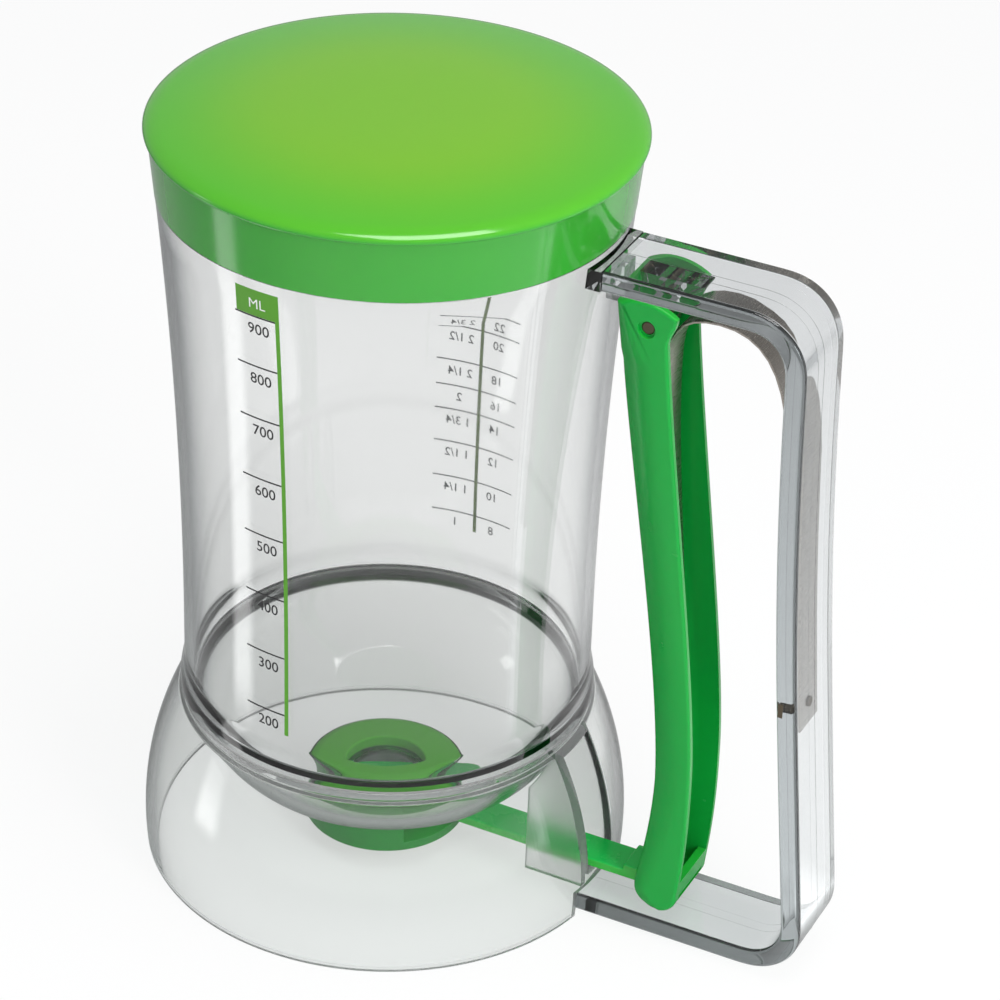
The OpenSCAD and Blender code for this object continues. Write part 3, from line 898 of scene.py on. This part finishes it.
def trigger_front(inset):
    """The side outline of the front face from head to foot, moved back by inset."""
    tall = PIN_Z - FOOT_Z
    head = head_point(HEAD_FRONT_X)
    neck = (PIN_X - 6.7 + inset, PIN_Z - 7)
    low = (WEB_X + 2.9 + inset, FOOT_Z + tall * 0.231)
    foot = (WEB_X + inset, BAR_Z + 3)
    return ([(head[0] + inset, head[1])]
            + bezier(neck, (neck[0] + 2.4, neck[1] - tall * 0.158),
                     (low[0] - 0.4, low[1] + tall * 0.198), low, 26)
            + bezier(low, (low[0], low[1] - tall * 0.08),
                     (foot[0] + 0.8, foot[1] + 5), foot, 10)[1:])


def trigger_rear():
    """The side outline of the rear edges, from foot to head."""
    tall = PIN_Z - FOOT_Z
    head = head_point(HEAD_REAR_X)
    neck = (PIN_X + 4.9, PIN_Z - 3)
    low = (WEB_X + 12.6, FOOT_Z + tall * 0.257)
    foot = (WEB_X + FOOT_DEPTH, FOOT_Z + FOOT_R + 1)
    return (bezier(foot, (foot[0] + 1.2, foot[1] + 10),
                   (low[0] + 0.2, low[1] - tall * 0.092), low, 12)
            + bezier(low, (low[0] - 0.2, low[1] + tall * 0.158),
                     (neck[0] + 2.6, neck[1] - tall * 0.198), neck, 26)[1:]
            + bezier(neck, (neck[0], neck[1] + 2.4), (head[0] - 0.2, head[1] - 3.2), head, 8)[1:]
            + [head_point(head[0] - HEAD_LENGTH * i / 12) for i in range(1, 12)])


def make_trigger():
    """The lever: crowned outside, hollow from behind, with a bore for the pin and two slots."""
    rear_x = WEB_X + FOOT_DEPTH
    slot_z = FOOT_Z + FOOT_FLOOR
    front = trigger_front(0)
    heel = (arc(WEB_X + FOOT_R, FOOT_Z + FOOT_R, FOOT_R, 180, 270, 8)
            + arc(rear_x - FOOT_R, FOOT_Z + FOOT_R, FOOT_R, 270, 350, 8))
    rear = trigger_rear()
    outline = front + heel + rear
    # The front's crown gets narrower towards the foot. Each edge is (radius, reach of the crown).
    reach = [2.0, 6.0] + [8.6] * (len(front) - 12) + [8.6 - 0.45 * i for i in range(1, 11)]
    edges = ([(min(1.5, r), r) for r in reach] + [(1.5, 4.0)] * 7
             + [(1.4, 3.4), (1.3, 2.6), (1.2, 1.8)] + [(1.0, 1.2)] * (len(heel) - 10)
             + [(0.6, 0.8)] * (len(rear) - 2) + [(0.8, 1.0), (1.0, 1.4)])
    trigger = pillow("trigger_lever", outline, edges, TRIGGER_W / 2)
    inner = TRIGGER_W / 2 - TRIGGER_WALL

    def room_ring(y, inset):
        """The side outline of the hollow at y. Its front is inset behind the front face."""
        low = rounded([
            (WEB_X + inset, slot_z, 0.6), (rear_x - TRIGGER_WALL, slot_z, 2.0),
            (rear_x - TRIGGER_WALL, FOOT_Z + FOOT_WALL, 0), (rear_x + 6, FOOT_Z + FOOT_WALL, 0),
            (rear_x + 6, PIN_Z / 2, 0), (PIN_X + 12, HEAD_Z + 1, 0), (WEB_X + inset, BAR_Z + 2, 0)])
        above = [(HEAD_FRONT_X + inset, HEAD_Z + 1)]
        return [(x, y, z) for x, z in above + trigger_front(inset) + low[:-1]]
    room = loft("room", [
        room_ring(-inner, ROOM_SIDE_INSET), room_ring(-ROOM_FRONT_HALF, TRIGGER_WALL),
        room_ring(ROOM_FRONT_HALF, TRIGGER_WALL), room_ring(inner, ROOM_SIDE_INSET)])
    combine(trigger, room, "DIFFERENCE")
    side = SLIDE_BAR_W / 2 + SLIDE_PLAY
    slot = block("slot", (WEB_X - 4, WEB_X + TRIGGER_WALL + 1), (-side, side), (slot_z, SLOT_TOP_Z))
    combine(trigger, slot, "DIFFERENCE")
    slit = block("slit", (rear_x - TRIGGER_WALL - 1, rear_x + 3), (-SLIT_HALF, SLIT_HALF),
                 (SLIT_Z, SLIT_Z + SLIT_H))
    combine(trigger, slit, "DIFFERENCE")
    bore = prism("bore", pin_circle(PIN_R + 0.05), -TRIGGER_W, TRIGGER_W)
    combine(trigger, bore, "DIFFERENCE")
    low, high = SINK_Y
    for y in ((-high, -low), (low, high)):
        combine(trigger, prism("sink", pin_circle(SINK_R), *y), "DIFFERENCE")
    clean(trigger)
    smooth(trigger, 40)
    return finish_piece(trigger, "trigger", trigger_green, "trigger")


# ------------------------------------------------------------ other pieces

def make_cad_copies():
    """Pieces whose shape in the CAD is already the right one."""
    dressed_copy("slide_gate", "valve_slide", "slide", slide_green, 0.35)
    dressed_copy("housing_ring", "valve_housing", "vessel", housing_green, 0.35)
    dressed_copy("seal_ring", "outlet_seal", "vessel", seal_green, 0.5, above=30)
    dressed_copy("pin_round", "pivot_pin", "vessel", pin_steel, 0.25)
    dressed_copy("rivet_head", "spring_rivet", "vessel", pin_steel, 0.3)


def make_tab():
    """The bent end of the strip's clip shows as a small dark tab in the side of the grip."""
    side = -BAR_W / 2
    tab = block("spring_tab", TAB_X, (side - 0.03, side + 0.25), TAB_Z)
    round_edges(tab, 0.1, segments=2)
    smooth(tab)
    finish_piece(tab, "vessel", pin_steel)


def make_spring():
    """The bent strip between the handle and the trigger: the CAD's shape, with its edges rounded.
    """
    spring = solid_copy("spring_strip", "leaf_spring")
    round_edges(spring, 0.12, segments=2)
    smooth(spring)
    set_material(spring, spring_steel)
    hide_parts("leaf_spring")
    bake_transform(spring)


# ------------------------------------------------------------ printed scale

# How far the ink stands off the wall, how long the sides of its faces are, and how high the
# font's capitals are at size 1
INK_LIFT = 0.06
INK_STEP = 1.0
CAPITAL = 0.729
# What each mark says, and its height
ML_MARKS = ((900, 162.8), (800, 150.2), (700, 136.9), (600, 121.3),
            (500, 106.6), (400, 91.0), (300, 75.7), (200, 60.4))
CUP_MARKS = (("2 3/4", "22", 117.6), ("2 1/2", "20", 112.6), ("2 1/4", "18", 103.4),
             ("2", "16", 96.6), ("1 3/4", "14", 90.1), ("1 1/2", "12", 81.2),
             ("1 1/4", "10", 71.5), ("1", "8", 61.9))


def on_wall(across, z, side, lift=INK_LIFT):
    """A point on the jug's wall at side -1 or 1 on Y. across runs rightwards, seen from there."""
    r = jug_radius(z) + lift
    angle = across / r
    return Vector((-side * r * sin(angle), side * r * cos(angle), z)) * MM


def wall_patch(bm, x0, x1, z0, z1, side, lift=INK_LIFT):
    """A printed rectangle that follows the wall."""
    columns = max(1, int(abs(x1 - x0) / INK_STEP))
    rows = max(1, int(abs(z1 - z0) / INK_STEP))
    grid = [[bm.verts.new(on_wall(x, z, side, lift)) for x in evenly(x0, x1, columns)]
            for z in evenly(z0, z1, rows)]
    for j in range(rows):
        for i in range(columns):
            bm.faces.new((grid[j][i], grid[j][i + 1], grid[j + 1][i + 1], grid[j + 1][i]))


def wall_text(bm, words, size, x, z, side, weight=0.0, lift=INK_LIFT):
    """Printed words on the wall. size is the height of the capitals."""
    curve = bpy.data.curves.new("words", "FONT")
    curve.body = words
    curve.align_x = "CENTER"
    curve.offset = weight
    curve.size = 1.0
    curve.resolution_u = 4
    obj = link("words", curve)
    mesh = bpy.data.meshes.new_from_object(obj.evaluated_get(bpy.context.evaluated_depsgraph_get()))
    scale = size / CAPITAL
    verts = [bm.verts.new(on_wall(x + v.co.x * scale, z + v.co.y * scale, side, lift))
             for v in mesh.vertices]
    for face in mesh.polygons:
        bm.faces.new([verts[i] for i in face.vertices])
    bpy.data.objects.remove(obj)


def print_piece(name, bm, material):
    """Ink on the jug: an open sheet, so its faces stay the way they were made."""
    finish_piece(mesh_object(name, bm), "vessel", material)


def make_ml_scale():
    """The near scale: a green line with a label, black ticks, and their numbers under them."""
    line = (-1.0, 0.0)
    tick_x, tick_half = -11.3, 0.2
    head_x, head_z = -10.9, (163.0, 169.5)
    green, black, white = bmesh.new(), bmesh.new(), bmesh.new()
    wall_patch(green, *line, 55.0, head_z[0], -1)
    wall_patch(green, head_x, line[1], *head_z, -1)
    wall_text(white, "ML", 2.5, -5.4, head_z[0] + 1.9, -1, lift=INK_LIFT * 2)
    for value, z in ML_MARKS:
        wall_patch(black, tick_x, line[0], z - tick_half, z + tick_half, -1, lift=INK_LIFT * 1.5)
        wall_text(black, str(value), 2.7, -5.3, z - 4.35, -1, 0.008)
    print_piece("scale_green", green, ink_green)
    print_piece("scale_black", black, ink_black)
    print_piece("scale_white", white, ink_white)


def make_cup_scale():
    """The far scale: a line, ticks across it, cups on one side and ounces on the other."""
    line_x, line_half = 0.9, 0.45
    left, right, tick_half = 10.5, 11.5, 0.17
    green, grey = bmesh.new(), bmesh.new()
    wall_patch(green, line_x - line_half, line_x + line_half, 57.3, 169.0, 1)
    for cups, ounces, z in CUP_MARKS:
        wall_patch(grey, line_x - left, line_x + right, z - tick_half, z + tick_half, 1,
                   lift=INK_LIFT * 1.5)
        for words, x in ((cups, line_x + 5.4), (ounces, line_x - 4.6)):
            wall_text(grey, words, 2.3, x, z - 3.9, 1, 0.010)
    print_piece("scale_back_green", green, ink_olive)
    print_piece("scale_back_grey", grey, ink_grey)


# ----------------------------------------------------------- studio, camera

def make_camera():
    """The photograph's camera: first its direction and roll, then its place."""
    az, el = CAM_AZIMUTH, CAM_ELEVATION
    back = Vector((sin(az) * cos(el), -cos(az) * cos(el), sin(el)))
    right0 = Vector((cos(az), sin(az), 0))
    up0 = back.cross(right0)
    right = cos(CAM_ROLL) * right0 + sin(CAM_ROLL) * up0
    up = -sin(CAM_ROLL) * right0 + cos(CAM_ROLL) * up0
    place = (back * CAM_DISTANCE + right0 * CAM_ASIDE + Vector((0, 0, CAM_HEIGHT))) * MM
    data = bpy.data.cameras.new("camera")
    data.sensor_width = CAM_SENSOR
    data.lens = CAM_LENS
    data.clip_start, data.clip_end = 0.01, 50
    camera = link("camera", data)
    camera.matrix_world = Matrix((
        (right.x, up.x, back.x, place.x), (right.y, up.y, back.y, place.y),
        (right.z, up.z, back.z, place.z), (0, 0, 0, 1)))
    bpy.context.scene.camera = camera


def make_floor():
    """White to look at. Once mirrored, a ray sees light and dark cards round the object instead."""
    bm = bmesh.new()
    bm.faces.new([bm.verts.new((x * STAGE_REACH, y * STAGE_REACH, STAGE_Z))
                  for x, y in ((-1, -1), (1, -1), (1, 1), (-1, 1))])
    floor = add_object("floor", bm)
    mat, n = new_material("floor_white")
    light = n.add("ShaderNodeLightPath")
    place = n.place()
    away = n.length(place)
    dim = n.fade(away, 0.08, 0.40, 0.70, 0.34)
    x, y, _ = n.split(place)
    turn = n.math("ARCTAN2", n.math("SUBTRACT", y, CARD_CENTRE[1]),
                  n.math("SUBTRACT", x, CARD_CENTRE[0]))
    turn = n.add("ShaderNodeMapRange", {"Value": turn, "From Min": -pi, "From Max": pi}).outputs[0]
    cards = n.ramp(turn, CARD_STOPS)
    card = n.mix_colour(n.fade(away, 0.105, 0.135), (0.07, 0.07, 0.07, 1), cards)
    dim = n.math("MULTIPLY", n.math("MULTIPLY", dim, CARD_GAIN), card)
    mirrored = n.math("MINIMUM", light.outputs["Glossy Depth"], 1.0)
    white = n.add("ShaderNodeBsdfDiffuse", {"Color": (0.92, 0.92, 0.92, 1)})
    glow = n.add("ShaderNodeEmission", {"Color": (1, 1, 1, 1),
                                        "Strength": n.spread(mirrored, 1.0, dim)})
    clear = n.math("MAXIMUM", light.outputs["Is Glossy Ray"], light.outputs["Is Transmission Ray"])
    share = n.math("MAXIMUM", n.math("MULTIPLY", light.outputs["Is Camera Ray"], GLOW_SEEN),
                   n.math("MULTIPLY", clear, GLOW_BEYOND))
    mixed = n.add("ShaderNodeMixShader", {0: share, 1: white.outputs[0], 2: glow.outputs[0]})
    n.output(mixed.outputs[0])
    floor.data.materials.append(mat)


def make_world():
    """White to look at. Once mirrored, a ray sees a dimmer room that darkens towards the top."""
    world = bpy.data.worlds.new("studio")
    world.use_nodes = True
    bpy.context.scene.world = world
    n = Nodes(world.node_tree)
    light = n.add("ShaderNodeLightPath")
    up = n.split(n.add("ShaderNodeTexCoord").outputs["Generated"])[2]
    through = n.ramp(up, ROOM_THROUGH)
    mirror = n.ramp(up, ROOM_MIRRORED)
    mirrored = n.math("MINIMUM", light.outputs["Glossy Depth"], 1.0)
    seen = n.mix_colour(mirrored, through, mirror)
    clear = n.math("MAXIMUM", light.outputs["Is Glossy Ray"], light.outputs["Is Transmission Ray"])
    colour = n.mix_colour(clear, (0.42, 0.43, 0.44, 1), seen)
    colour = n.mix_colour(light.outputs["Is Camera Ray"], colour, (1, 1, 1, 1))
    sky = n.add("ShaderNodeBackground", {"Color": colour, "Strength": 1.0})
    n.add("ShaderNodeOutputWorld", {"Surface": sky.outputs[0]})


def softbox(name, place, aim, width, height, power, mirrored=True):
    """A lamp. When mirrored is off, no surface reflects it and no plastic lets it be seen."""
    data = bpy.data.lights.new(name, "AREA")
    data.shape = "RECTANGLE"
    data.size, data.size_y = width, height
    data.energy = power
    lamp = link(name, data)
    lamp.location = place
    lamp.visible_glossy = mirrored
    lamp.visible_transmission = mirrored
    lamp.rotation_euler = (Vector(aim) - Vector(place)).to_track_quat("-Z", "Y").to_euler()


def make_lights():
    softbox("overhead", (0.22, -0.14, 1.10), (0.02, 0, 0.1), 0.62, 0.52, 6.2)
    softbox("left", (-0.95, -0.45, 0.55), (0, 0, 0.1), 0.18, 0.18, 0.3)
    softbox("right", (1.0, -0.5, 0.7), (0, 0, 0.1), 0.30, 0.7, 9.0, mirrored=False)


make_camera()
make_jug()
make_base()
make_handle()
make_lid()
make_trigger()
make_cad_copies()
make_spring()
make_tab()
make_ml_scale()
make_cup_scale()
make_floor()
make_world()
make_lights()

scene = bpy.context.scene
scene.view_settings.view_transform = "Standard"
scene.cycles.transparent_max_bounces = 32
scene.cycles.max_bounces = 24
scene.cycles.transmission_bounces = 24
